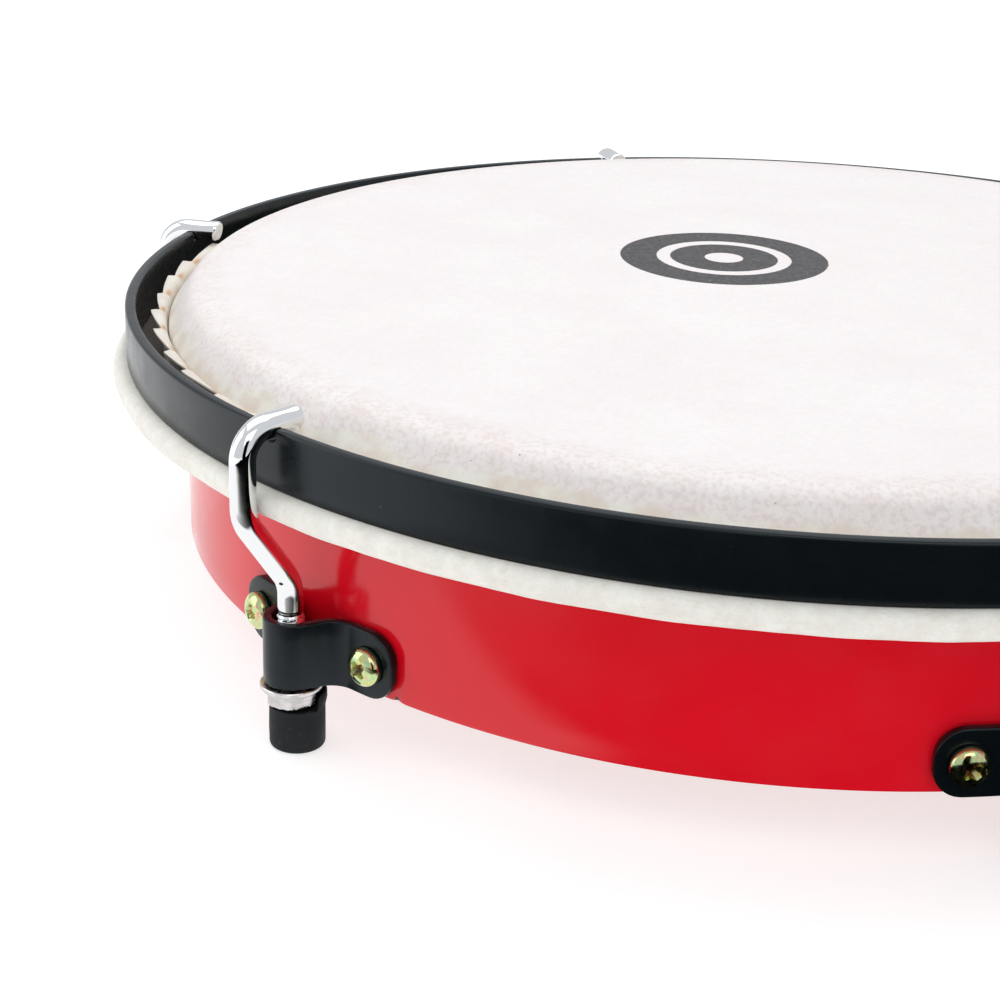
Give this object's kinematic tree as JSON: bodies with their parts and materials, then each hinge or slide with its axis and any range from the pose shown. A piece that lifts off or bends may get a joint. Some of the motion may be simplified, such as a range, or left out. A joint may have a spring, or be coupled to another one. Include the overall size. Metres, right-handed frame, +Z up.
{
  "type": "tunable hand drum",
  "caption": "Shallow round drum with a natural skin head, held by a steel counterhoop and hook rods that draw it down with nuts under brackets on the shell.",
  "frame": {"origin": "on the drum's axis, level with the bottoms of the rubber caps that it stands on", "axes": "+Z up along the drum's axis towards the skin; +X towards lug 1"},
  "size_m": [0.3504, 0.339, 0.0765],
  "materials": {
    "red_shell": "high gloss red",
    "skin": "natural goat skin, pale, faintly grained",
    "wrapped_skin": "rough flesh side of the skin, cream",
    "hoop_wood": "plain beech ply",
    "black_steel": "satin black powder coat",
    "chrome": "polished chrome plate",
    "nickel": "warm bright nickel plate",
    "rubber": "matte dark grey, scuffed",
    "yellow_zinc": "iridescent yellow zinc"
  },
  "bodies": {
    "drum": {"shell": "red_shell", "drumhead_skin": "skin", "bracket_1": "black_steel", "bracket_2": "black_steel", "bracket_3": "black_steel", "bracket_4": "black_steel", "bracket_5": "black_steel", "bracket_6": "black_steel", "bracket_screw_1a": "yellow_zinc", "inner_nut_1a": "nickel", "bracket_screw_1b": "yellow_zinc", "inner_nut_1b": "nickel", "bracket_screw_2a": "yellow_zinc", "inner_nut_2a": "nickel", "bracket_screw_2b": "yellow_zinc", "inner_nut_2b": "nickel", "bracket_screw_3a": "yellow_zinc", "inner_nut_3a": "nickel", "bracket_screw_3b": "yellow_zinc", "inner_nut_3b": "nickel", "bracket_screw_4a": "yellow_zinc", "inner_nut_4a": "nickel", "bracket_screw_4b": "yellow_zinc", "inner_nut_4b": "nickel", "bracket_screw_5a": "yellow_zinc", "inner_nut_5a": "nickel", "bracket_screw_5b": "yellow_zinc", "inner_nut_5b": "nickel", "bracket_screw_6a": "yellow_zinc", "inner_nut_6a": "nickel", "bracket_screw_6b": "yellow_zinc", "inner_nut_6b": "nickel"},
    "tension_hoop": {"counterhoop": "black_steel", "flesh_hoop": "hoop_wood", "skin_wrap": "wrapped_skin"},
    "hook_1": {"hook_rod_1": "chrome"},
    "nut_1": {"flange_nut_1": "nickel"},
    "cap_1": {"rubber_cap_1": "rubber"},
    "hook_2": {"hook_rod_2": "chrome"},
    "nut_2": {"flange_nut_2": "nickel"},
    "cap_2": {"rubber_cap_2": "rubber"},
    "hook_3": {"hook_rod_3": "chrome"},
    "nut_3": {"flange_nut_3": "nickel"},
    "cap_3": {"rubber_cap_3": "rubber"},
    "hook_4": {"hook_rod_4": "chrome"},
    "nut_4": {"flange_nut_4": "nickel"},
    "cap_4": {"rubber_cap_4": "rubber"},
    "hook_5": {"hook_rod_5": "chrome"},
    "nut_5": {"flange_nut_5": "nickel"},
    "cap_5": {"rubber_cap_5": "rubber"},
    "hook_6": {"hook_rod_6": "chrome"},
    "nut_6": {"flange_nut_6": "nickel"},
    "cap_6": {"rubber_cap_6": "rubber"}
  },
  "joints": [
    {"name": "counterhoop_slide", "type": "slide", "parent": "drum", "child": "tension_hoop", "axis": [0, 0, -1], "range_m": [0, 0.004]},
    {"name": "hook_slide_1", "type": "slide", "parent": "drum", "child": "hook_1", "axis": [0, 0, -1], "range_m": [0, 0.004]},
    {"name": "nut_turn_1", "type": "hinge", "parent": "drum", "child": "nut_1", "pos_m": [0.1602, 0, 0.012], "axis": [0, 0, 1], "range_deg": [0, 1441]},
    {"name": "cap_pull_1", "type": "slide", "parent": "hook_1", "child": "cap_1", "axis": [0, 0, -1], "range_m": [0, 0.012]},
    {"name": "hook_slide_2", "type": "slide", "parent": "drum", "child": "hook_2", "axis": [0, 0, -1], "range_m": [0, 0.004]},
    {"name": "nut_turn_2", "type": "hinge", "parent": "drum", "child": "nut_2", "pos_m": [0.0801, 0.13874, 0.012], "axis": [0, 0, 1], "range_deg": [0, 1441]},
    {"name": "cap_pull_2", "type": "slide", "parent": "hook_2", "child": "cap_2", "axis": [0, 0, -1], "range_m": [0, 0.012]},
    {"name": "hook_slide_3", "type": "slide", "parent": "drum", "child": "hook_3", "axis": [0, 0, -1], "range_m": [0, 0.004]},
    {"name": "nut_turn_3", "type": "hinge", "parent": "drum", "child": "nut_3", "pos_m": [-0.0801, 0.13874, 0.012], "axis": [0, 0, 1], "range_deg": [0, 1441]},
    {"name": "cap_pull_3", "type": "slide", "parent": "hook_3", "child": "cap_3", "axis": [0, 0, -1], "range_m": [0, 0.012]},
    {"name": "hook_slide_4", "type": "slide", "parent": "drum", "child": "hook_4", "axis": [0, 0, -1], "range_m": [0, 0.004]},
    {"name": "nut_turn_4", "type": "hinge", "parent": "drum", "child": "nut_4", "pos_m": [-0.1602, 0, 0.012], "axis": [0, 0, 1], "range_deg": [0, 1441]},
    {"name": "cap_pull_4", "type": "slide", "parent": "hook_4", "child": "cap_4", "axis": [0, 0, -1], "range_m": [0, 0.012]},
    {"name": "hook_slide_5", "type": "slide", "parent": "drum", "child": "hook_5", "axis": [0, 0, -1], "range_m": [0, 0.004]},
    {"name": "nut_turn_5", "type": "hinge", "parent": "drum", "child": "nut_5", "pos_m": [-0.0801, -0.13874, 0.012], "axis": [0, 0, 1], "range_deg": [0, 1441]},
    {"name": "cap_pull_5", "type": "slide", "parent": "hook_5", "child": "cap_5", "axis": [0, 0, -1], "range_m": [0, 0.012]},
    {"name": "hook_slide_6", "type": "slide", "parent": "drum", "child": "hook_6", "axis": [0, 0, -1], "range_m": [0, 0.004]},
    {"name": "nut_turn_6", "type": "hinge", "parent": "drum", "child": "nut_6", "pos_m": [0.0801, -0.13874, 0.012], "axis": [0, 0, 1], "range_deg": [0, 1441]},
    {"name": "cap_pull_6", "type": "slide", "parent": "hook_6", "child": "cap_6", "axis": [0, 0, -1], "range_m": [0, 0.012]}
  ],
  "couplings": [
    {"joint": "hook_slide_1", "follows": "counterhoop_slide", "ratio": 1},
    {"joint": "nut_turn_1", "follows": "counterhoop_slide", "rad_per_m": 6283.2},
    {"joint": "hook_slide_2", "follows": "counterhoop_slide", "ratio": 1},
    {"joint": "nut_turn_2", "follows": "counterhoop_slide", "rad_per_m": 6283.2},
    {"joint": "hook_slide_3", "follows": "counterhoop_slide", "ratio": 1},
    {"joint": "nut_turn_3", "follows": "counterhoop_slide", "rad_per_m": 6283.2},
    {"joint": "hook_slide_4", "follows": "counterhoop_slide", "ratio": 1},
    {"joint": "nut_turn_4", "follows": "counterhoop_slide", "rad_per_m": 6283.2},
    {"joint": "hook_slide_5", "follows": "counterhoop_slide", "ratio": 1},
    {"joint": "nut_turn_5", "follows": "counterhoop_slide", "rad_per_m": 6283.2},
    {"joint": "hook_slide_6", "follows": "counterhoop_slide", "ratio": 1},
    {"joint": "nut_turn_6", "follows": "counterhoop_slide", "rad_per_m": 6283.2}
  ]
}
